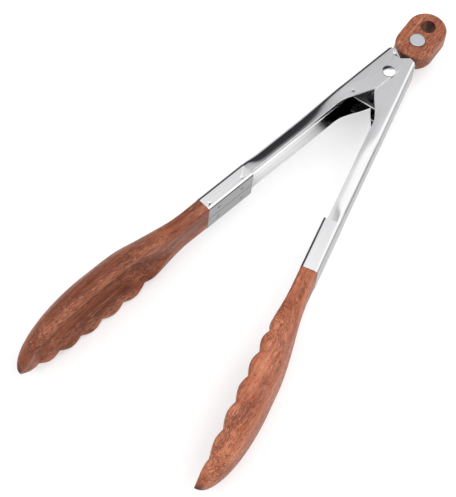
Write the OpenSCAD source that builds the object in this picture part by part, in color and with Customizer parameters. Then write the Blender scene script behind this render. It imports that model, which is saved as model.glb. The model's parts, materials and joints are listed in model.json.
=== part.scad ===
// Spring loaded kitchen tongs: two channel-section arms on one rivet, spoon-shaped wooden heads in
// their sockets, a torsion spring and a pull-tab lock. They lie on one side, standing open.
// Each arm is drawn in its own frame: X is the distance out from the closing plane, Y the distance
// from the rivet towards the head, and Z the rivet's axis.

/* [Arms] */
// Distance from the rivet to the socket's mouth
arm_len = 129.5; // [115:0.5:160]
// Width of the arm's channel, measured along the rivet
arm_w = 18.6; // [15:0.2:24]
// Distance from the closing plane to the arm's back
arm_back = 11.2; // [9.6:0.05:15]
// Distance from the closing plane to the channel's free edges
edge_gap = 4.1; // [2.5:0.1:5]
// Length of the closed socket
socket_len = 31; // [24:0.5:40]
// Distance from the closing plane to the socket's inner face
socket_gap = 2; // [1:0.1:3]
// Thickness of the sheet
sheet = 0.9; // [0.6:0.05:1.1]
// Outer radius of the bends along the arm's back
back_r = 2.2; // [1.8:0.1:3]
// Share by which the channel narrows towards its back, between the ears and the socket
flank_lean = 0.22; // [0:0.01:0.24]
// Angle that each arm stands open from the closing plane
open_angle = 11.15; // [8:0.05:13]

/* [Ears] */
// Width of the sheet left beside the rivet's hole, at the ears' free edge
ear_wall = 0.45; // [0.3:0.05:1.2]
// How far the ears reach past the rivet, towards the tab
ear_top = 13.7; // [11.4:0.1:16.5]
// Distance from the rivet to where the ears have narrowed to the channel's free edges
ear_end = 34; // [28:0.5:44]

/* [Heads] */
// Length of a head beyond its socket
head_len = 126.3; // [105:0.1:155]
// Width of a head across its rims
head_w = 40.6; // [33:0.1:50]
// Distance from the closing plane to the crown of a head's back
crown = 17; // [15.5:0.1:21]
// Distance from the closing plane to the rims
rim_gap = 0.5; // [0.3:0.1:1]
// Thickness of the wood at the rims
rim_t = 3; // [2.4:0.1:4]
// Thickness of the wood under the hollow
floor_t = 4; // [3:0.1:6]
// Distance between the valleys of the toothed rim
tooth_pitch = 14.2; // [11:0.1:18]
// Depth of the valleys of the toothed rim
tooth_depth = 1.7; // [0.6:0.1:2]

/* [Pivot and spring] */
// Diameter of the pivot rivet's shank
rivet_d = 5; // [4:0.1:6.2]
// How far the pivot rivet's heads reach past its shank
rivet_rim = 0.9; // [0.6:0.05:1.5]
// Diameter of the spring's wire
wire_d = 1.5; // [1.2:0.1:1.8]
// Distance from the rivet to where the spring's legs press on the arms
leg_reach = 30; // [24:0.5:44]

/* [Lock] */
// Distance that the tab pulls out
tab_travel = 12; // [8:0.5:13]
// Length of the tab
tab_len = 33.3; // [31:0.1:46]
// Width of the tab
tab_w = 21.6; // [19.6:0.2:28]
// Thickness of the tab
tab_t = 11; // [9:0.2:12]
// Diameter of the hanging hole
hang_d = 8.4; // [6:0.1:9]
// Diameter of the tab rivet's heads
tab_rivet_head_d = 8.4; // [6:0.1:9]
// Thickness of the lock plate
plate_t = 1; // [0.8:0.1:1.2]

/* [Hidden] */
$fn = 48;

eps = 0.01;
fit = 0.05;           // radial clearance of a shank in its hole
nest_gap = 0.15;      // gap between the two arms' ears
steel = "lightgray";
wood = [0.62, 0.34, 0.22];

half_w = arm_w / 2;                        // outer half width of the channel
nest_w = half_w - sheet - nest_gap;        // outer half width of the right arm's nested ears
inside_w = nest_w - sheet;                 // half width inside the nested ears
socket_start = arm_len - socket_len;
socket_inner_r = 1.5;                      // outer radius of the bends beside the socket's seam
seam = 0.3;                                // width of the socket's open seam
ear_past = rivet_d / 2 + fit + ear_wall;   // how far the ears reach past the closing plane
ear_narrow = 10;                           // where the ears begin to narrow
// Where the right arm steps out to its full width, clear of the left arm's ears
joggle = [between(0.5, ear_narrow, ear_end), between(0.5, ear_end, socket_start)];
ear_peak = arm_back - 3.8;                 // the ears' highest point, seen along the rivet
ear_slope = 2.8;                           // how far the ears' top edge falls to its free corner
ear_corner = [2.6, 1.8, 0.8];              // drops of the top edge's curve into the back
ear_corner_x = [-1, 0.6, 2.2];             // their distances in from the back
ear_cut_x = 1.8;                           // where the top edge turns down towards the free edge
ear_cut_y = [-5.4, -4];                    // the small chamfer where it meets the free edge
ear_chamfer = 0.4;
lean_start = ear_end - 10;                 // where the flanges begin to lean in
lean_grow = 34;                            // how far on they lean fully
lean_fade = 12;                            // how far before the socket they straighten again
overlap = 0.5;                             // how far the channel runs into the socket's wall
end_skin = 0.02;                           // how deep inside the wall's faces it lies there

// Crimps that hold the head's tang
dimple_r = 2.2;
dimple_depth = sheet - 0.4;
dimple_z = half_w - 4.8;
dimple_y = [socket_start + 7.7, arm_len - 7];
prick_r = 0.9;
prick_depth = 0.25;
prick_x = socket_gap + 2.6;
prick_y = [socket_start + 6, arm_len - 3];
// Press marks on the left arm's upper ear
ear_marks = [[4.3, 22.9], [5.5, -10.6]];

// Pivot stack, from the outside in
head_gap = 0.1;                            // play between the ears, the bush and the rivet's heads
bush_wall = 0.7;
bush_d = rivet_d + 2 * (fit + bush_wall);
bush_len = 2 * (inside_w - head_gap);
rivet_dome = 1.2;
rivet_half = half_w + head_gap;

// Spring, over the lock plate
plate_z = -2.1;                            // middle of the plate's thickness
coil_play = 0.35;                          // gap between the coil and the bush
coil_r = bush_d / 2 + coil_play + wire_d / 2;
end_gap = [1.3, 0.55];                     // gaps from the coil to the upper ear and to the plate
// The centre line's height at the left leg and at the right leg
coil_z = [inside_w - end_gap[0] - wire_d / 2, plate_z + plate_t / 2 + end_gap[1] + wire_d / 2];
coil_gap = 0.1;                            // least gap between the coil's turns
leg_x = arm_back - sheet - wire_d / 2 - fit;

// Lock and tab, with the tab pushed in
slot_w = bush_d + 0.4;
plate_wall = [2.05, 1.85];                 // metal beside the slot, and past its end
neck_w = slot_w + 2 * plate_wall[0];
foot_h = 3;
foot_y = -tab_travel - slot_w / 2 - plate_wall[1];
// The foot clears the closed arms' backs, and the shoulders clear the open arms' with the tab out
foot_gap = 1;
shoulder_gap = 1.7;
foot_w = 2 * (arm_back - sheet - foot_gap);
shoulder_y = -2;
open_back = (arm_back - sheet - (tab_travel + shoulder_y) * sin(open_angle)) / cos(open_angle);
body_w = 2 * (open_back - shoulder_gap);
tab_gap = 3.13;
tab_y = norm([ear_peak, ear_top]) + tab_gap;  // the tab's inner end, clear of the swinging ears
tab_edge_r = 1.8;
hang_wall = [5.6, 3.1];                    // wood past the hanging hole, and before it
hang_y = tab_y + tab_len - hang_wall[0] - hang_d / 2;
tab_rivet_y = hang_y - hang_d / 2 - hang_wall[1] - tab_rivet_head_d / 2;
tab_tube_d = 5;
tab_pin_d = 3.4;
tab_rivet_head_t = 1.5;
tab_rivet_sink = 0.8;                      // how deep a head is let into the wood

// Head
head_end = arm_len + head_len;
tip_start = head_end - 53;                 // where the head begins to narrow to its tip
apex = arm_len + 20.5;                     // the hollow's pointed end
hollow_end = head_end - 6;
first_valley = arm_len + 42.5;
valleys = floor((head_end - 12 - first_valley) / tooth_pitch) + 1;
tooth_steps = floor((head_end - 11.5 - first_valley) / tooth_pitch * 6);
tang_gap = 0.1;

function ease(t) = let (c = max(0, min(1, t))) c * c * (3 - 2 * c);
function between(t, a, b) = a + (b - a) * t;
// Where each change along a head begins past the socket, and how far it goes on
widening = [14.5, 42];                     // from the socket's width to the rims'
facing = [10, 35];                         // from the socket's inner face to the rims
backing = [6.5, 56];                       // from the arm's back to the crown
rounding = [0, 45];                        // from the tang's square section to the head's round one
function change(y, c) = ease((y - arm_len - c[0]) / c[1]);
function tip(y) = let (q = max(0, (y - tip_start) / (head_end - tip_start))) max(0, 1 - q * q);

// A head's outline at distance y from the rivet
function half_width(y) =
    between(change(y, widening), half_w, head_w / 2) * pow(tip(y), 0.65);
function face_x(y) = between(change(y, facing), socket_gap, rim_gap);
function back_x(y) =
    let (x = between(change(y, backing), arm_back, crown))
    rim_gap + 0.5 + (x - rim_gap - 0.5) * sqrt(tip(y));
function widest_x(y) =
    let (x = between(change(y, rounding), (arm_back + socket_gap) / 2, rim_gap + 2.6))
    min(x, between(0.5, face_x(y), back_x(y)));
function back_power(y) = between(change(y, rounding), 5, 2.3);
function face_power(y) = between(change(y, rounding), 8, 3);

// The hollow: its half width and depth, and its curve across the head
function hollow_w(y) = (half_width(y) - rim_t) * pow(ease((y - apex) / 26), 0.5);
function hollow_depth(y) =
    max(0, back_x(y) - floor_t - face_x(y)) * ease((y - apex) / 34) * ease((hollow_end - y) / 14);
function hollow(y, z) =
    let (w = hollow_w(y)) w < 0.2 || abs(z) >= w ? 0 : hollow_depth(y) * pow(1 - pow(z / w, 2), 0.7);

// The teeth: 1 in a valley and 0 on a peak, along the rim on the negative Z side
function valley(y) =
    let (n = (y - first_valley) / tooth_pitch)
    n < -0.5 || n > valleys - 0.5 ? 0 : 1 - abs(sin(180 * n));
function tooth(y, z) =
    tooth_depth * valley(y) * ease((-z / max(half_width(y), eps) - 0.55) / 0.35);

function power_curve(s, n) = pow(max(0, 1 - pow(abs(s), n)), 1 / n);

back_steps = 18;
face_steps = 22;
// One ring of points around the head at distance y, from the +Z rim over the back and along the face
function head_ring(y) =
    let (h = max(half_width(y), 0.3), x0 = widest_x(y), xb = back_x(y), xf = face_x(y))
    concat(
        [for (i = [0 : back_steps - 1])
            let (s = cos(180 * i / back_steps), z = h * s)
            [x0 + max(xb - x0, 0.2) * power_curve(s, back_power(y)), y, z + 0.6 * tooth(y, z)]],
        [for (i = [0 : face_steps - 1])
            let (s = -cos(180 * i / face_steps), z = h * s)
            [x0 - max(x0 - xf, 0.2) * power_curve(s, face_power(y)) + hollow(y, z) + tooth(y, z), y,
             z + 0.6 * tooth(y, z)]]
    );
head_stations = concat(
    [for (d = [0, 4, 8, 12, 16, 20, 22, 24.5, 28, 32, 36, 39.5]) arm_len + d],
    [for (k = [0 : tooth_steps]) first_valley + k * tooth_pitch / 6],
    [for (d = [9.5, 7, 5, 3.2, 1.8, 0.8, 0.1]) head_end - d]
);
head_points = [for (y = head_stations) each head_ring(y)];
ring = back_steps + face_steps;

// Where the assembly stands: its box's bottom centre is the origin
head_reach = max([for (p = head_points) cos(open_angle) * p[1] - sin(open_angle) * p[0]]);
frame_y = (head_reach - tab_y - tab_len) / 2;
frame_z = head_w / 2;

module in_frame() translate([0, frame_y, frame_z]) children();
module as_left() in_frame() rotate([0, 0, 180 - open_angle]) children();
module as_right() in_frame() rotate([0, 0, open_angle]) rotate([0, 180, 0]) rotate([0, 0, 180]) children();

// A rectangle from x0 to x1 with corner radius r0 at x0 and r1 at x1
module rounded(x0, x1, hw, r0, r1) {
    translate([x0 + r0, -hw]) square([x1 - r1 - x0 - r0, 2 * hw]);
    translate([x0, -hw + r0]) square([r0 + eps, 2 * (hw - r0)]);
    translate([x1 - r1 - eps, -hw + r1]) square([r1 + eps, 2 * (hw - r1)]);
    for (s = [-1, 1]) {
        translate([x0 + r0, s * (hw - r0)]) circle(r0);
        translate([x1 - r1, s * (hw - r1)]) circle(r1);
    }
}

// How far a point of the channel's flanges leans in, as a factor on its height
function lean(y) =
    flank_lean * ease((y - lean_start) / lean_grow) * (1 - ease((y - socket_start) / lean_fade + 1));
function lean_in(x, y) =
    let (a = max(0, min(1, (x - edge_gap) / (arm_back - edge_gap)))) 1 - lean(y) * between(0.65, a, a * a);
flank_steps = 5;
bend_steps = 5;
// One face of the channel's sheet at distance y, from one free edge over the back to the other
function sheet_face(y, hw, back, r) =
    let (
        flank = [for (i = [0 : flank_steps]) [between(i / flank_steps, edge_gap, back - r), hw]],
        bend = [for (i = [1 : bend_steps]) let (t = 90 * i / bend_steps)
            [back - r + r * sin(t), hw - r + r * cos(t)]],
        half = concat([[-ear_past - 1, hw]], flank, bend), n = len(half)
    )
    [for (i = [0 : 2 * n - 1]) let (p = half[min(i, 2 * n - 1 - i)], s = i < n ? 1 : -1)
        [p[0], y, s * p[1] * lean_in(p[0], y)]];
function backwards(list) = [for (i = [len(list) - 1 : -1 : 0]) list[i]];
// The right arm's ears are ear_w wide and step out to the full width along the joggle
function channel_w(y, ear_w) = between(ease((y - joggle[0]) / (joggle[1] - joggle[0])), ear_w, half_w);
channel_stations = concat(
    [-ear_top - 1],
    [for (i = [0 : 8]) between(i / 8, joggle[0], joggle[1])],
    [for (i = [1 : 5]) between(i / 5, joggle[1], socket_start - lean_fade)],
    [for (i = [1 : 4]) socket_start - lean_fade * (1 - i / 4)],
    [socket_start + overlap]
);
// The open channel, with flanges as deep as the ears need
module channel(ear_w) {
    rings = [for (y = channel_stations)
        let (hw = channel_w(y, ear_w), skin = y < socket_start ? 0 : end_skin, inner = sheet - skin)
        concat(
            sheet_face(y, hw - skin, arm_back - skin, back_r),
            backwards(sheet_face(y, hw - inner, arm_back - inner, back_r - inner)))];
    n = len(rings[0]);
    last = (len(rings) - 1) * n;
    polyhedron(
        [for (r = rings) each r],
        concat(
            [for (i = [0 : n / 2 - 2]) [i, i + 1, n - 2 - i, n - 1 - i]],
            [for (k = [0 : len(rings) - 2], i = [0 : n - 1])
                let (a = k * n + i, b = k * n + (i + 1) % n) each [[a, a + n, b], [b, a + n, b + n]]],
            [for (i = [0 : n / 2 - 2]) [last + n - 1 - i, last + n - 2 - i, last + i + 1, last + i]]
        ), convexity = 6
    );
}

// Extrudes a section along the arm from y0 to y1
module along(y0, y1)
    translate([0, y0, 0]) rotate([-90, 0, 0]) linear_extrude(y1 - y0) mirror([0, 1]) children();

// The arm's outline seen along the rivet
function ear_edge(y) = -ear_past + (edge_gap + ear_past) * ease((y - ear_narrow) / (ear_end - ear_narrow));
module side_outline() polygon(concat(
    [for (i = [0 : 2]) [arm_back - ear_corner_x[i], ear_corner[i] - ear_top]],
    [[ear_peak, -ear_top], [ear_cut_x, ear_slope - ear_top],
     [ear_chamfer - ear_past, ear_cut_y[0]], [-ear_past, ear_cut_y[1]]],
    [for (i = [0 : 12]) let (y = between(i / 12, ear_narrow, ear_end)) [ear_edge(y), y]],
    [[edge_gap, socket_start + 2 * overlap], [arm_back + 1, socket_start + 2 * overlap]]
));

module socket_tube() difference() {
    along(socket_start, arm_len) difference() {
        rounded(socket_gap, arm_back, half_w, socket_inner_r, back_r);
        rounded(socket_gap + sheet, arm_back - sheet, half_w - sheet, socket_inner_r - sheet, back_r - sheet);
    }
    translate([socket_gap - 1, socket_start - 1, -seam / 2]) cube([sheet + 2, socket_len + 2, seam]);
    for (y = dimple_y, s = [-1, 1])
        translate([socket_gap - dimple_r + dimple_depth, y, s * dimple_z]) sphere(dimple_r);
    for (y = prick_y)
        translate([prick_x, y, half_w + prick_r - prick_depth]) sphere(prick_r);
}

// ear_w is the ears' outer half width
module arm(ear_w) {
    difference() {
        intersection() {
            channel(ear_w);
            translate([0, 0, -half_w - 1]) linear_extrude(arm_w + 2) side_outline();
        }
        cylinder(h = arm_w + 2, d = rivet_d + 2 * fit, center = true);
    }
    socket_tube();
}

module left_arm() color(steel) as_left() difference() {
    arm(half_w);
    for (p = ear_marks) translate([p[0], p[1], half_w + prick_r - prick_depth]) sphere(prick_r);
}
module right_arm() color(steel) as_right() arm(nest_w);

module head() {
    polyhedron(
        head_points,
        concat(
            [[for (i = [0 : ring - 1]) i]],
            [for (k = [0 : len(head_stations) - 2], i = [0 : ring - 1])
                let (a = k * ring + i, b = k * ring + (i + 1) % ring) each [
                    [a, a + ring, b], [b, a + ring, b + ring]]],
            [[for (i = [ring - 1 : -1 : 0]) (len(head_stations) - 1) * ring + i]]
        ), convexity = 6
    );
    // Tang
    inset = sheet + tang_gap;
    along(socket_start + 1, arm_len + 1.5)
        rounded(socket_gap + inset, arm_back - inset, half_w - inset, 0.6, back_r - inset);
}

module left_head() color(wood) as_left() head();
module right_head() color(wood) as_right() head();

module pivot_rivet() color("silver") in_frame() {
    cylinder(h = 2 * rivet_half, d = rivet_d, center = true);
    for (s = [0, 1]) mirror([0, 0, s]) translate([0, 0, rivet_half])
        dome(rivet_d + 2 * rivet_rim, rivet_dome);
}
// A low dome of base diameter d and height h, with a short straight edge
module dome(d, h) {
    edge = 0.3;
    r = (d * d / 4 + pow(h - edge, 2)) / (2 * (h - edge));
    cylinder(h = edge, d = d);
    intersection() {
        translate([0, 0, h - r]) sphere(r, $fn = 96);
        cylinder(h = h + 1, d = d);
    }
}

module spacer_bush() color(steel) in_frame() difference() {
    cylinder(h = bush_len, d = bush_d, center = true);
    cylinder(h = bush_len + 1, d = rivet_d + 2 * fit, center = true);
}

// The spring's centre line: left leg, coil, right leg
leg_end = [
    -(cos(open_angle) * leg_x + sin(open_angle) * leg_reach),
    sin(open_angle) * leg_x - cos(open_angle) * leg_reach
];
leg_turn = atan2(leg_end[1], leg_end[0]) + 360 - acos(coil_r / norm(leg_end));
part_turn = 2 * leg_turn - 180;
coil_turns = floor((coil_z[0] - coil_z[1]) / (wire_d + coil_gap) - part_turn / 360);
coil_sweep = part_turn + 360 * coil_turns;
coil_steps = 16 * coil_turns + 6;
spring_path = concat(
    [[leg_end[0], leg_end[1], coil_z[0]]],
    [for (i = [0 : coil_steps])
        let (t = i / coil_steps, a = leg_turn - t * coil_sweep)
        [coil_r * cos(a), coil_r * sin(a), between(t, coil_z[0], coil_z[1])]],
    [[-leg_end[0], leg_end[1], coil_z[1]]]
);
function flat(v) = let (f = [v[0], v[1], 0]) f / norm(f);
// A round wire along a path that stays close to the XY plane
module wire(path, d, sides = 8) {
    n = len(path);
    points = [for (k = [0 : n - 1])
        let (
            t = flat(path[min(k + 1, n - 1)] - path[max(k - 1, 0)]),
            side = [-t[1], t[0], 0]
        )
        for (i = [0 : sides - 1])
            path[k] + d / 2 * (cos(360 * i / sides) * side + [0, 0, sin(360 * i / sides)])];
    polyhedron(points, concat(
        [[for (i = [0 : sides - 1]) i]],
        [for (k = [0 : n - 2], i = [0 : sides - 1])
            let (a = k * sides + i, b = k * sides + (i + 1) % sides) each [
                [a, a + sides, b], [b, a + sides, b + sides]]],
        [[for (i = [sides - 1 : -1 : 0]) (n - 1) * sides + i]]
    ), convexity = 10);
}
module torsion_spring() color("gray") in_frame() wire(spring_path, wire_d);

// The plate's outline, symmetric about the Y axis
module plate_outline() difference() {
    union() {
        translate([-foot_w / 2, foot_y]) square([foot_w, foot_h]);
        translate([-body_w / 2, foot_y]) square([body_w, shoulder_y - foot_y]);
        translate([-neck_w / 2, foot_y]) square([neck_w, tab_rivet_y - foot_y]);
        translate([0, tab_rivet_y]) circle(d = neck_w);
    }
    translate([-slot_w / 2, -tab_travel]) square([slot_w, tab_travel]);
    for (y = [-tab_travel, 0]) translate([0, y]) circle(d = slot_w);
    translate([0, tab_rivet_y]) circle(d = tab_tube_d + 2 * fit);
}
module lock_plate() color(steel) in_frame() translate([0, 0, plate_z - plate_t / 2])
    linear_extrude(plate_t) plate_outline();

// A disc with rounded edges, for the tab's two ends
module tab_end() rotate_extrude($fn = 40) intersection() {
    rounded(-tab_w / 2, tab_w / 2, tab_t / 2, tab_edge_r, tab_edge_r, $fn = 24);
    translate([0, -tab_t]) square([tab_w, 2 * tab_t]);
}
module pull_tab() color(wood) in_frame() translate([0, 0, plate_z]) difference() {
    hull() for (y = [tab_y + tab_w / 2, tab_y + tab_len - tab_w / 2]) translate([0, y, 0]) tab_end();
    // Slot for the lock plate's tongue
    slot_t = plate_t + 0.2;
    slot_tongue = neck_w + 0.3;
    translate([-slot_tongue / 2, tab_y - 1, -slot_t / 2])
        cube([slot_tongue, tab_rivet_y - tab_y + 1, slot_t]);
    translate([0, tab_rivet_y, 0]) cylinder(h = slot_t, d = slot_tongue, center = true);
    translate([0, tab_rivet_y, 0]) cylinder(h = tab_t + 1, d = tab_tube_d + 2 * fit, center = true);
    for (s = [0, 1]) mirror([0, 0, s]) translate([0, tab_rivet_y, tab_t / 2 - tab_rivet_sink])
        cylinder(h = tab_rivet_sink + 1, d = tab_rivet_head_d + 2 * fit);
    translate([0, hang_y, 0]) cylinder(h = tab_t + 1, d = hang_d, center = true);
}

// A flat head with a slightly rounded rim, standing on the wood's recess
module flat_head(d) {
    r = 0.4;
    rotate_extrude() intersection() {
        translate([0, tab_rivet_head_t / 2]) rotate(90)
            rounded(-tab_rivet_head_t / 2, tab_rivet_head_t / 2, d / 2, 0.1, r);
        square([d, tab_rivet_head_t]);
    }
}
rivet_seat = tab_t / 2 - tab_rivet_sink;
module tab_rivet_front() color("silver") in_frame() translate([0, tab_rivet_y, plate_z]) {
    translate([0, 0, rivet_seat]) flat_head(tab_rivet_head_d);
    difference() {
        translate([0, 0, 0.5 - rivet_seat]) cylinder(h = 2 * rivet_seat - 0.5 + eps, d = tab_tube_d);
        translate([0, 0, -rivet_seat]) cylinder(h = 2 * rivet_seat - 1, d = tab_pin_d + 2 * fit);
    }
}
module tab_rivet_back() color("silver") in_frame() translate([0, tab_rivet_y, plate_z]) {
    mirror([0, 0, 1]) translate([0, 0, rivet_seat]) flat_head(tab_rivet_head_d);
    translate([0, 0, -rivet_seat - eps]) cylinder(h = 2 * rivet_seat - 1.5, d = tab_pin_d);
}

left_arm();
right_arm();
left_head();
right_head();
pivot_rivet();
spacer_bush();
torsion_spring();
lock_plate();
pull_tab();
tab_rivet_front();
tab_rivet_back();
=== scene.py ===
"""Locking kitchen tongs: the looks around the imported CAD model. Metres, in the CAD frame."""
import json
import math

import bmesh
import bpy
import numpy as np
from mathutils import Matrix, Vector


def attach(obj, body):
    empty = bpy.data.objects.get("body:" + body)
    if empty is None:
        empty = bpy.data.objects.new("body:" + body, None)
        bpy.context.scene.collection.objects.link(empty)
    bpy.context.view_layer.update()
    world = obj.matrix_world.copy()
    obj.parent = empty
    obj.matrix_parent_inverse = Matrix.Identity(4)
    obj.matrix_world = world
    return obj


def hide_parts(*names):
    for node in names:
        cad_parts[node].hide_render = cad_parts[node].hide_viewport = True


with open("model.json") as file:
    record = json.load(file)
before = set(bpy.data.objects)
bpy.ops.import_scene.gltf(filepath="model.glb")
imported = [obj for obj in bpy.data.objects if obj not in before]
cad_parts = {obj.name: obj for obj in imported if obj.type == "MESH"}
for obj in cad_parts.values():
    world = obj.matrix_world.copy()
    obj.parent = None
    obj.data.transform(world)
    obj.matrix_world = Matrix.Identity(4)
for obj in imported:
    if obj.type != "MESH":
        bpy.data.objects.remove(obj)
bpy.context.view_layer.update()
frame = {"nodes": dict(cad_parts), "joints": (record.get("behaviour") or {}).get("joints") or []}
nodes = frame["nodes"]
joints = {j["name"]: j for j in frame["joints"]}
MM = 0.001

# The pivot and the angle that each arm stands open, from the record
hinge = joints["left_jaw_hinge"]
PIVOT = Vector(hinge["pos_m"])
OPEN = math.radians(hinge["range_deg"][1])

# The arm's frame: X out from the closing plane, Y from the rivet towards the head, Z the rivet's axis
AS_LEFT = Matrix.Translation(PIVOT) @ Matrix.Rotation(math.pi - OPEN, 4, "Z")
AS_RIGHT = (Matrix.Translation(PIVOT) @ Matrix.Rotation(OPEN, 4, "Z")
            @ Matrix.Rotation(math.pi, 4, "Y") @ Matrix.Rotation(math.pi, 4, "Z"))

# Sizes of the arms and heads, in millimetres in the arm's frame
ARM_LEN, ARM_HALF_W, ARM_BACK, EDGE_GAP = 129.5, 9.3, 11.2, 4.1
SOCKET_START, SOCKET_GAP = 98.5, 2.0
HEAD_LEN, HEAD_W, CROWN, RIM_GAP = 126.3, 40.6, 17.0, 0.5
RIM_T, FLOOR_T = 3.0, 4.0
TOOTH_PITCH, TOOTH_DEPTH, VALLEYS = 14.2, 1.7, 6
SHEET, WIRE_D, LEG_REACH, LEG_PLAY = 0.9, 1.5, 30.0, 0.05
# The spring's coil: radius of its centre line, whole turns, and heights at the two legs
COIL_R, COIL_TURNS, COIL_Z = 4.35, 3, (5.3, -0.3)
HEAD_END = ARM_LEN + HEAD_LEN
TIP_START = HEAD_END - 53
APEX = ARM_LEN + 20.5
HOLLOW_END = HEAD_END - 6
FIRST_VALLEY = ARM_LEN + 42.5
# Where along the head, past the socket, each change of its section starts, and over what length
WIDENING, FACING, BACKING, ROUNDING = (14.5, 42), (10, 35), (6.5, 56), (0, 45)
# Lengths over which the hollow opens and deepens from its apex, and ends
HOLLOW_OPENS, HOLLOW_DEEPENS, HOLLOW_CLOSES = 26, 34, 14
# The teeth start at this share of the half width, fade in over this one, and reach this far round the rim
TOOTH_FROM, TOOTH_FADE, TOOTH_ROUND = 0.55, 0.35, 0.6
RIM_BACK = 0.5          # the tip's back meets the face this far behind the rim
RIM_MIDDLE = 2.6        # the head is widest this far behind its rim
TIP_SHORT = 0.02        # how far the last ring stays short of the tip
THIN = 0.1              # least depth of a ring's back and face
# The channel's inside goes from polished and dark, with painted shade, to rougher and bright, with painted
# light, between the first and the second of these distances past the rivet, in metres
SATIN_AND_PAINTED_LIGHT = (0.034, 0.046)
# Material slots of an arm's sheet: the cut edges carry a painted highlight, the backs painted shade, and
# the inside painted shade and light
EDGES, BACKS, INSIDE = 1, 2, 3


# ---------------------------------------------------------------- camera and studio

def add_camera():
    """The photograph's view: from above and in front, a little to the right."""
    data = bpy.data.cameras.new("camera")
    data.sensor_width = 36
    data.lens = 137.22
    data.clip_start, data.clip_end = 0.01, 20
    camera = bpy.data.objects.new("camera", data)
    bpy.context.scene.collection.objects.link(camera)
    place = Vector((0.21809, -0.46774, 0.8236))
    target = Vector((-0.00965, -0.03554, 0.0203))
    right = Vector((0.8258, 0.5599, 0.0672)).normalized()
    back = (place - target).normalized()
    up = back.cross(right).normalized()
    right = up.cross(back)
    turn = Matrix((right, up, back)).transposed()
    camera.matrix_world = Matrix.Translation(place) @ turn.to_4x4()
    bpy.context.scene.camera = camera


def area_light(name, place, target, size, power, size_y=None):
    data = bpy.data.lights.new(name, "AREA")
    data.shape = "RECTANGLE"
    data.size = size
    data.size_y = size_y or size
    data.energy = power
    light = bpy.data.objects.new(name, data)
    light.location = place
    light.rotation_euler = (Vector(target) - Vector(place)).to_track_quat("-Z", "Y").to_euler()
    bpy.context.scene.collection.objects.link(light)


class Nodes:
    """A short way to write a node tree."""

    def __init__(self, tree):
        self.tree = tree
        tree.nodes.clear()

    def add(self, kind, inputs=(), **settings):
        node = self.tree.nodes.new(kind)
        for key, value in settings.items():
            setattr(node, key, value)
        for key, value in dict(inputs).items():
            self.set(node, key, value)
        return node

    def set(self, node, key, value):
        socket = node.inputs[key]
        if isinstance(value, bpy.types.NodeSocket):
            self.tree.links.new(value, socket)
        else:
            socket.default_value = value

    def math(self, operation, a, b=0.0, clamp=False):
        return self.add("ShaderNodeMath", {0: a, 1: b}, operation=operation, use_clamp=clamp).outputs[0]

    def map_range(self, value, low, high, to_low=0.0, to_high=1.0, smooth=True):
        node = self.add("ShaderNodeMapRange", {"Value": value, "From Min": low, "From Max": high,
                                               "To Min": to_low, "To Max": to_high})
        node.interpolation_type = "SMOOTHSTEP" if smooth else "LINEAR"
        return node.outputs["Result"]

    def ramp(self, value, *stops):
        node = self.add("ShaderNodeValToRGB", {"Fac": value})
        for _ in stops[2:]:
            node.color_ramp.elements.new(0.5)
        for element, (place, colour) in zip(node.color_ramp.elements, stops):
            element.position = place
            element.color = (*colour, 1)
        return node.outputs["Color"]

    def mix(self, factor, a, b, blend="MIX"):
        node = self.add("ShaderNodeMix", data_type="RGBA", blend_type=blend)
        self.set(node, "Factor", factor)
        self.set(node, 6, a)
        self.set(node, 7, b)
        return node.outputs[2]

    def noise(self, vector, scale, detail=3.0, roughness=0.5, distortion=0.0):
        return self.add("ShaderNodeTexNoise", {"Vector": vector, "Scale": scale, "Detail": detail,
                                               "Roughness": roughness, "Distortion": distortion})


def add_world():
    """A white studio: light from above, a bright side to the right and a dark side behind on the left."""
    world = bpy.data.worlds.new("studio")
    bpy.context.scene.world = world
    world.use_nodes = True
    n = Nodes(world.node_tree)
    direction = n.add("ShaderNodeTexCoord").outputs["Generated"]
    height = n.add("ShaderNodeSeparateXYZ", {0: direction}).outputs["Z"]
    below, horizon, wall = (0.40, 0.40, 0.40), (0.46, 0.46, 0.47), (0.80, 0.80, 0.81)
    ceiling, lamp, zenith = (1.15, 1.15, 1.16), (2.2, 2.2, 2.2), (1.7, 1.7, 1.7)
    sky = n.ramp(height, (0.0, below), (0.35, horizon), (0.62, wall),
                 (0.79, ceiling), (0.88, lamp), (1.0, zenith))

    def lobe(toward, near, far):
        """1 within near degrees of a direction, fading to 0 at far degrees."""
        dot = n.add("ShaderNodeVectorMath", {0: direction, 1: Vector(toward).normalized()},
                    operation="DOT_PRODUCT").outputs["Value"]
        return n.map_range(dot, math.cos(math.radians(far)), math.cos(math.radians(near)))

    dark_left = lobe((-0.75, 0.65, 0.12), 33, 42)
    bright_right = lobe((0.56, 0.64, 0.55), 24, 36)
    colour = n.mix(dark_left, sky, (0.07, 0.07, 0.075, 1))
    colour = n.mix(bright_right, colour, (*lamp, 1))
    background = n.add("ShaderNodeBackground", {"Color": colour, "Strength": 1.0})
    out = n.add("ShaderNodeOutputWorld")
    n.tree.links.new(background.outputs[0], out.inputs["Surface"])


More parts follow.
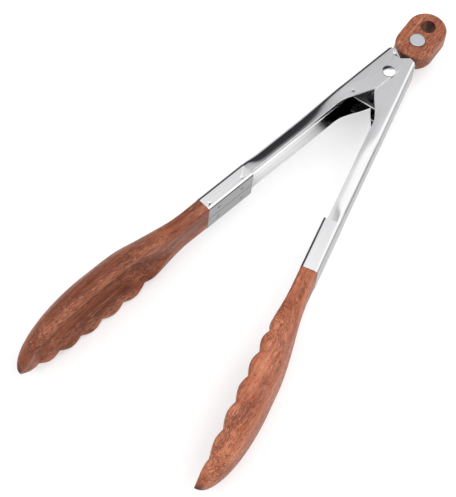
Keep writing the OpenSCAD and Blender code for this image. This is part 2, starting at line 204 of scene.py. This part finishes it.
def add_floor():
    mesh = bpy.data.meshes.new("floor")
    bm = bmesh.new()
    bmesh.ops.create_circle(bm, cap_ends=True, radius=3, segments=64)
    bm.to_mesh(mesh)
    bm.free()
    floor = bpy.data.objects.new("floor", mesh)
    bpy.context.scene.collection.objects.link(floor)
    material = bpy.data.materials.new("floor_paper")
    material.use_nodes = True
    n = Nodes(material.node_tree)
    place = n.add("ShaderNodeTexCoord").outputs["Object"]
    grain = n.noise(place, 900, 4).outputs["Fac"]
    bump = n.add("ShaderNodeBump", {"Height": grain, "Strength": 0.03, "Distance": 0.0002}).outputs[0]
    shader = n.add("ShaderNodeBsdfPrincipled", {"Base Color": (0.62, 0.62, 0.62, 1), "Roughness": 0.7,
                                                "Normal": bump, "Specular IOR Level": 0.1,
                                                "Emission Color": (1, 1, 1, 1), "Emission Strength": 0.36})
    out = n.add("ShaderNodeOutputMaterial")
    n.tree.links.new(shader.outputs[0], out.inputs["Surface"])
    mesh.materials.append(material)


def add_lights():
    centre = (0, -0.05, 0.02)
    area_light("key_softbox", (0.55, 0.25, 1.1), centre, 0.7, 1.6)
    area_light("front_softbox", (-0.35, -0.9, 0.9), centre, 0.8, 1.2)
    area_light("top_softbox", (-0.1, 0.0, 1.5), centre, 1.2, 1.0)


# ---------------------------------------------------------------- materials

def new_material(name):
    material = bpy.data.materials.new(name)
    material.use_nodes = True
    return material, Nodes(material.node_tree)


def finish_material(n, shader):
    out = n.add("ShaderNodeOutputMaterial")
    n.tree.links.new(shader.outputs[0], out.inputs["Surface"])


def along_grain(n, turn):
    """Object coordinates turned about Z by turn, so that the grain runs along Y."""
    place = n.add("ShaderNodeTexCoord").outputs["Object"]
    return n.add("ShaderNodeMapping", {"Vector": place, "Rotation": (0, 0, turn)}).outputs[0]


def stretched(n, vector, x, y, z):
    return n.add("ShaderNodeVectorMath", {0: vector, 1: (x, y, z)}, operation="MULTIPLY").outputs[0]


def wood_material(name, turn, seed, light=1.0, strokes=1.0):
    """Oiled reddish hardwood with open pores, its grain along Y after the turn; light scales the whole
    tone, as painted light above 1 and painted shade below 1.
    """
    material, n = new_material(name)
    place = along_grain(n, turn)
    place = n.add("ShaderNodeVectorMath", {0: place, 1: (seed * 0.31, seed * 0.17, seed * 0.23)}).outputs[0]
    # Slow waves bend the grain
    bend = n.noise(stretched(n, place, 30, 14, 30), 1.0, 2).outputs["Color"]
    bend = n.add("ShaderNodeVectorMath", {0: bend, 1: (0.5, 0.5, 0.5)}, operation="SUBTRACT").outputs[0]
    bend = n.add("ShaderNodeVectorMath", {0: bend, 1: (0.012, 0.0, 0.012)}, operation="MULTIPLY").outputs[0]
    place = n.add("ShaderNodeVectorMath", {0: place, 1: bend}).outputs[0]
    rings = n.noise(stretched(n, place, 210, 8, 210), 1.0, 4, 0.6).outputs["Fac"]
    fibres = n.noise(stretched(n, place, 1300, 60, 1300), 1.0, 3, 0.6).outputs["Fac"]
    patches = n.noise(stretched(n, place, 60, 22, 60), 1.0, 2).outputs["Fac"]
    tone = n.ramp(rings, (0.30, (0.170, 0.042, 0.018)), (0.45, (0.275, 0.078, 0.035)),
                  (0.58, (0.355, 0.112, 0.053)), (0.72, (0.450, 0.168, 0.088)))
    tone = n.mix(n.map_range(fibres, 0.40, 0.66), tone, n.mix(1.0, tone, (0.74, 0.68, 0.64, 1), "MULTIPLY"))
    # Pores: short dark strokes, denser in some bands
    strokes_a = n.noise(stretched(n, place, 1900, 300, 1900), 1.0, 2, 0.5).outputs["Fac"]
    band = n.noise(stretched(n, place, 230, 16, 230), 1.0, 2).outputs["Fac"]
    pore = n.map_range(n.math("ADD", strokes_a, n.math("MULTIPLY", band, 0.35)), 0.735, 0.80)
    # Pale streaks beside the pores
    flecks = n.noise(stretched(n, place, 1500, 170, 1500), 1.0, 2).outputs["Fac"]
    fleck = n.math("MULTIPLY", n.map_range(flecks, 0.56, 0.66), n.map_range(patches, 0.40, 0.58))
    tone = n.mix(n.math("MULTIPLY", fleck, 0.50 * strokes), tone, (0.56, 0.27, 0.16, 1))
    tone = n.mix(n.math("MULTIPLY", pore, 0.72 * strokes), tone, (0.095, 0.020, 0.009, 1))
    # End grain drinks more oil and is darker; the darkening, to about a third, also stands in as painted
    # shade on end faces such as the tab's hole and inner end
    normal = n.add("ShaderNodeTexCoord").outputs["Normal"]
    facing = n.add("ShaderNodeVectorMath", {0: normal, 1: (math.sin(turn), math.cos(turn), 0)},
                   operation="DOT_PRODUCT").outputs["Value"]
    end_grain_and_painted_shade = n.map_range(n.math("ABSOLUTE", facing), 0.70, 0.97)
    tone = n.mix(end_grain_and_painted_shade, tone, n.mix(1.0, tone, (0.30, 0.26, 0.24, 1), "MULTIPLY"))
    # Painted light and shade: the whole tone scaled by light for each copy
    tone = n.mix(1.0, tone, (light, light, light, 1), "MULTIPLY")
    height = n.math("SUBTRACT", n.math("MULTIPLY", fibres, 0.3), pore)
    bump = n.add("ShaderNodeBump", {"Height": height, "Strength": 0.6, "Distance": 0.00015}).outputs[0]
    rough = n.map_range(fibres, 0.3, 0.7, 0.42, 0.56)
    shader = n.add("ShaderNodeBsdfPrincipled", {"Base Color": tone, "Roughness": rough, "Normal": bump,
                                                "Specular IOR Level": 0.3})
    finish_material(n, shader)
    return material


def steel_material(name, turn, colour, rough, brushed=1.0, lines=(2600, 26, 2600)):
    """Stainless steel with fine brushing along Y after the turn, and a few faint smudges."""
    material, n = new_material(name)
    place = along_grain(n, turn)
    brush = n.noise(stretched(n, place, *lines), 1.0, 3, 0.65).outputs["Fac"]
    smudge = n.noise(stretched(n, place, 60, 30, 60), 1.0, 3).outputs["Fac"]
    roughness = n.math("ADD", n.map_range(brush, 0.3, 0.7, rough * 0.8, rough * 1.2),
                       n.map_range(smudge, 0.4, 0.8, 0.0, 0.04))
    tone = n.mix(n.map_range(brush, 0.35, 0.65), (*[c * 0.94 for c in colour], 1), (*colour, 1))
    bump = n.add("ShaderNodeBump", {"Height": brush, "Strength": 0.12 * brushed,
                                    "Distance": 0.00003}).outputs[0]
    shader = n.add("ShaderNodeBsdfPrincipled", {"Base Color": tone, "Metallic": 1.0, "Roughness": roughness,
                                                "Normal": bump})
    finish_material(n, shader)
    return material


def inside_material(name, turn, place):
    """The inside of a channel: polished and darkened with painted shade between the ears, and rougher and
    lightened with painted light further down.
    """
    material, n = new_material(name)
    brush = n.noise(stretched(n, along_grain(n, turn), 1400, 14, 1400), 1.0, 3, 0.6).outputs["Fac"]
    direction = place.to_3x3() @ Vector((0, 1, 0))
    down = n.add("ShaderNodeVectorMath", {0: n.add("ShaderNodeTexCoord").outputs["Object"], 1: direction},
                 operation="DOT_PRODUCT").outputs["Value"]
    start = PIVOT.dot(direction)
    satin_and_painted_light = n.map_range(down, start + SATIN_AND_PAINTED_LIGHT[0], start + SATIN_AND_PAINTED_LIGHT[1])
    # Painted shade and light: a dark steel colour between the ears, a bright one further down
    tone = n.mix(satin_and_painted_light, (0.30, 0.30, 0.305, 1), (0.74, 0.74, 0.74, 1))
    tone = n.mix(n.math("MULTIPLY", n.map_range(brush, 0.40, 0.62), 0.30), tone, (0.45, 0.45, 0.46, 1))
    roughness = n.add("ShaderNodeMapRange", {"Value": satin_and_painted_light, "To Min": 0.06, "To Max": 0.5}).outputs[0]
    bump = n.add("ShaderNodeBump", {"Height": brush, "Strength": 0.1, "Distance": 0.00003}).outputs[0]
    shader = n.add("ShaderNodeBsdfPrincipled", {"Base Color": tone, "Metallic": 1.0, "Roughness": roughness,
                                                "Normal": bump})
    finish_material(n, shader)
    return material


# ---------------------------------------------------------------- pieces

def link_mesh(name, bm, material, angle=35):
    mesh = bpy.data.meshes.new(name)
    bm.to_mesh(mesh)
    bm.free()
    for polygon in mesh.polygons:
        polygon.use_smooth = True
    mesh.set_sharp_from_angle(angle=math.radians(angle))
    mesh.materials.append(material)
    piece = bpy.data.objects.new(name, mesh)
    bpy.context.scene.collection.objects.link(piece)
    return piece


def paint(node, material):
    """A carried-over CAD node keeps its mesh and takes a new material."""
    node.data.materials.clear()
    node.data.materials.append(material)


def ease(t):
    t = np.clip(t, 0, 1)
    return t * t * (3 - 2 * t)


def between(t, a, b):
    return a + (b - a) * t


def inward(middle, normal):
    """Whether a face of the channel looks into it."""
    flange = abs(normal.z) > 0.5 and normal.z * middle.z < 0
    return flange or (normal.x < -0.3 and middle.x > EDGE_GAP + 0.3)


def arm_sheet(name, node, place, body, materials):
    """An arm: the CAD node's own mesh, smoothed, with a material for each kind of face."""
    bm = bmesh.new()
    bm.from_mesh(nodes[node].data)
    bmesh.ops.remove_doubles(bm, verts=bm.verts, dist=2e-6)
    bmesh.ops.transform(bm, matrix=Matrix.Scale(1 / MM, 4) @ place.inverted(), verts=bm.verts)
    bmesh.ops.recalc_face_normals(bm, faces=bm.faces)
    for face in bm.faces:
        middle, normal = face.calc_center_median(), face.normal
        flank = abs(normal.z) > 0.5
        free_edge = normal.x < -0.3 and middle.x < EDGE_GAP + 0.3 and middle.y < SOCKET_START - 0.5
        top_edge = normal.y < -0.4 and middle.y < -2 and middle.x < EDGE_GAP + 6
        # Cut edges take a painted highlight, the backs and the sockets' inner faces painted shade, the
        # inside painted shade and light
        if not flank and (free_edge or top_edge):
            face.material_index = EDGES
        elif normal.x > 0.75 or (normal.x < -0.75 and middle.y > SOCKET_START and middle.x < EDGE_GAP):
            face.material_index = BACKS
        elif middle.y < SOCKET_START and inward(middle, normal):
            face.material_index = INSIDE
    bmesh.ops.transform(bm, matrix=place @ Matrix.Scale(MM, 4), verts=bm.verts)
    piece = link_mesh(name, bm, materials[0], 28)
    for material in materials[1:]:
        piece.data.materials.append(material)
    weigh = piece.modifiers.new("flat_faces", "WEIGHTED_NORMAL")
    weigh.keep_sharp = True
    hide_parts(node)
    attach(piece, body)


def wire_piece(name, points, body, material, sides=14):
    """A round wire of the CAD spring's diameter along points that stay close to the XY plane."""
    bm = bmesh.new()
    rows = []
    for k, point in enumerate(points):
        ahead = points[min(k + 1, len(points) - 1)] - points[max(k - 1, 0)]
        ahead.z = 0
        ahead.normalize()
        side = Vector((-ahead.y, ahead.x, 0))
        row = []
        for i in range(sides):
            turn = 2 * math.pi * i / sides
            row.append(bm.verts.new(point + WIRE_D / 2 * (math.cos(turn) * side
                                                          + math.sin(turn) * Vector((0, 0, 1)))))
        rows.append(row)
    for a, b in zip(rows, rows[1:]):
        for i in range(sides):
            j = (i + 1) % sides
            bm.faces.new((a[i], a[j], b[j], b[i]))
    bm.faces.new(rows[0][::-1])
    bm.faces.new(rows[-1])
    bmesh.ops.transform(bm, matrix=Matrix.Translation(PIVOT) @ Matrix.Scale(MM, 4), verts=bm.verts)
    bmesh.ops.recalc_face_normals(bm, faces=bm.faces)
    piece = link_mesh(name, bm, material, 50)
    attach(piece, body)
    return piece


def add_spring(material):
    """The torsion spring: its coil stays on the bush and each leg follows its arm."""
    leg_x = ARM_BACK - SHEET - WIRE_D / 2 - LEG_PLAY
    end_x = -(math.cos(OPEN) * leg_x + math.sin(OPEN) * LEG_REACH)
    end_y = math.sin(OPEN) * leg_x - math.cos(OPEN) * LEG_REACH
    start = math.atan2(end_y, end_x) + 2 * math.pi - math.acos(COIL_R / math.hypot(end_x, end_y))
    sweep = 2 * start - math.pi + 2 * math.pi * COIL_TURNS
    steps = 40 * COIL_TURNS
    coil = []
    for i in range(steps + 1):
        turn = start - sweep * i / steps
        coil.append(Vector((COIL_R * math.cos(turn), COIL_R * math.sin(turn),
                            between(i / steps, COIL_Z[0], COIL_Z[1]))))
    left_end = Vector((end_x, end_y, COIL_Z[0]))
    right_end = Vector((-end_x, end_y, COIL_Z[1]))
    left_leg = [coil[0].lerp(left_end, t) for t in np.linspace(0, 1, 12).tolist()]
    right_leg = [coil[-1].lerp(right_end, t) for t in np.linspace(0, 1, 12).tolist()]
    pieces = [wire_piece("spring_coil", coil, "pivot", material),
              wire_piece("spring_leg_left", left_leg, "left_jaw", material),
              wire_piece("spring_leg_right", right_leg, "right_jaw", material)]
    for piece in pieces:
        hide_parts("torsion_spring")


def tip(y):
    """Share of its section that the head keeps at y, falling to 0 at its tip."""
    q = np.clip((y - TIP_START) / (HEAD_END - TIP_START), 0, 1)
    return 1 - q * q


def change(y, stretch):
    """How far, from 0 to 1, a change of the head's section has come at y."""
    start, length = stretch
    return ease((y - ARM_LEN - start) / length)


def half_width(y):
    return between(change(y, WIDENING), ARM_HALF_W, HEAD_W / 2) * tip(y) ** 0.65


def face_x(y):
    return between(change(y, FACING), SOCKET_GAP, RIM_GAP)


def back_x(y):
    x = between(change(y, BACKING), ARM_BACK, CROWN)
    return RIM_GAP + RIM_BACK + (x - RIM_GAP - RIM_BACK) * np.sqrt(tip(y))


def widest_x(y):
    x = between(change(y, ROUNDING), (ARM_BACK + SOCKET_GAP) / 2, RIM_GAP + RIM_MIDDLE)
    return np.minimum(x, between(0.5, face_x(y), back_x(y)))


def hollow(y, z):
    """Depth of the spoon's hollow below the face."""
    width = (half_width(y) - RIM_T) * ease((y - APEX) / HOLLOW_OPENS) ** 0.5
    depth = (np.maximum(0, back_x(y) - FLOOR_T - face_x(y)) * ease((y - APEX) / HOLLOW_DEEPENS)
             * ease((HOLLOW_END - y) / HOLLOW_CLOSES))
    inside = (width > 0.2) & (np.abs(z) < width)
    share = np.clip(z / np.maximum(width, 0.2), -1, 1)
    return np.where(inside, depth * (1 - share ** 2) ** 0.7, 0)


def tooth(y, z):
    """Depth of the valleys between the teeth, on the rim at -Z."""
    n = (y - FIRST_VALLEY) / TOOTH_PITCH
    valley = np.where((n < -0.5) | (n > VALLEYS - 0.5), 0, 1 - np.abs(np.sin(math.pi * n)))
    side = ease((-z / np.maximum(half_width(y), 0.01) - TOOTH_FROM) / TOOTH_FADE)
    return TOOTH_DEPTH * valley * side


def head_points(steps_along=300, steps_back=56, steps_face=96):
    """Rings of points around the head, from the socket's mouth to the tip."""
    t = np.linspace(0, 1, steps_along)
    y = ARM_LEN + HEAD_LEN * (1 - (1 - t) ** 1.35) - TIP_SHORT * t
    y = y[:, None]
    h = np.maximum(half_width(y), 0.12)
    x0, xb, xf = widest_x(y), back_x(y), face_x(y)
    blend = change(y, ROUNDING)
    n_back, n_face = between(blend, 5, 2.3), between(blend, 8, 3)
    s = np.cos(math.pi * np.arange(steps_back) / steps_back)[None, :]
    zb = h * s
    curve = np.maximum(0, 1 - np.abs(s) ** n_back) ** (1 / n_back)
    back = np.stack([x0 + np.maximum(xb - x0, THIN) * curve, y + 0 * s,
                     zb + TOOTH_ROUND * tooth(y, zb)], -1)
    s = -np.cos(math.pi * np.arange(steps_face) / steps_face)[None, :]
    zf = h * s
    curve = np.maximum(0, 1 - np.abs(s) ** n_face) ** (1 / n_face)
    x = x0 - np.maximum(x0 - xf, THIN) * curve + hollow(y, zf) + tooth(y, zf)
    face = np.stack([x, y + 0 * s, zf + TOOTH_ROUND * tooth(y, zf)], -1)
    return np.concatenate([back, face], 1)


def head_piece(name, node, place, body, material):
    """A wooden head, lofted along the arm."""
    rings = head_points()
    bm = bmesh.new()
    rows = [[bm.verts.new(p) for p in ring] for ring in rings.tolist()]
    count = len(rows[0])
    for a, b in zip(rows, rows[1:]):
        for i in range(count):
            j = (i + 1) % count
            bm.faces.new((a[i], a[j], b[j], b[i]))
    bm.faces.new(rows[0][::-1])
    bm.faces.new(rows[-1])
    bmesh.ops.transform(bm, matrix=place @ Matrix.Scale(MM, 4), verts=bm.verts)
    bmesh.ops.recalc_face_normals(bm, faces=bm.faces)
    piece = link_mesh(name, bm, material, 40)
    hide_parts(node)
    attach(piece, body)


# ---------------------------------------------------------------- the scene

bpy.context.scene.view_settings.view_transform = "Standard"
add_camera()
add_world()
add_lights()
add_floor()

steel = (0.45, 0.45, 0.455)
# back: a darker steel colour for the arms' backs and the sockets' inner faces, painted shade
back = (0.30, 0.30, 0.305)
left_steel = steel_material("left_arm_steel", OPEN, steel, 0.12, 1.6)
right_steel = steel_material("right_arm_steel", -OPEN, steel, 0.12, 1.6)
left_back_painted_shade = steel_material("left_back_steel", OPEN, back, 0.26)
right_back_painted_shade = steel_material("right_back_steel", -OPEN, back, 0.26)
left_inside = inside_material("left_inside_steel", OPEN, AS_LEFT)
right_inside = inside_material("right_inside_steel", -OPEN, AS_RIGHT)
# The cut edges: a near-white steel colour, a painted highlight
edge_painted_highlight = steel_material("cut_edge_painted_highlight", 0, (0.93, 0.93, 0.93), 0.42, 0.5)
dome_steel = steel_material("pivot_steel", 0, (0.66, 0.66, 0.665), 0.12, 0.3)
plate_steel = steel_material("plate_steel", math.pi / 2, (0.80, 0.80, 0.81), 0.35)
wire_steel = steel_material("wire_steel", 0, (0.30, 0.30, 0.31), 0.3)
bush_steel = steel_material("bush_steel", 0, (0.40, 0.40, 0.41), 0.3)
disc_steel = steel_material("tab_rivet_steel", 0.6, (0.42, 0.44, 0.465), 0.36)
# The left head's wood is darkened with painted shade and the right head's lightened with painted light
left_wood_painted_shade = wood_material("left_head_wood", OPEN, 1.0, 0.86)
right_wood_painted_light = wood_material("right_head_wood", -OPEN, 7.0, 1.12)
tab_wood = wood_material("tab_wood", 0, 13.0, 0.95)

arm_sheet("left_arm_sheet", "left_arm", AS_LEFT, "left_jaw",
          (left_steel, edge_painted_highlight, left_back_painted_shade, left_inside))
arm_sheet("right_arm_sheet", "right_arm", AS_RIGHT, "right_jaw",
          (right_steel, edge_painted_highlight, right_back_painted_shade, right_inside))
add_spring(wire_steel)
head_piece("left_head_wood", "left_head", AS_LEFT, "left_jaw", left_wood_painted_shade)
head_piece("right_head_wood", "right_head", AS_RIGHT, "right_jaw", right_wood_painted_light)
paint(nodes["pivot_rivet"], dome_steel)
paint(nodes["spacer_bush"], bush_steel)
paint(nodes["lock_plate"], plate_steel)
paint(nodes["pull_tab"], tab_wood)
paint(nodes["tab_rivet_front"], disc_steel)
paint(nodes["tab_rivet_back"], disc_steel)
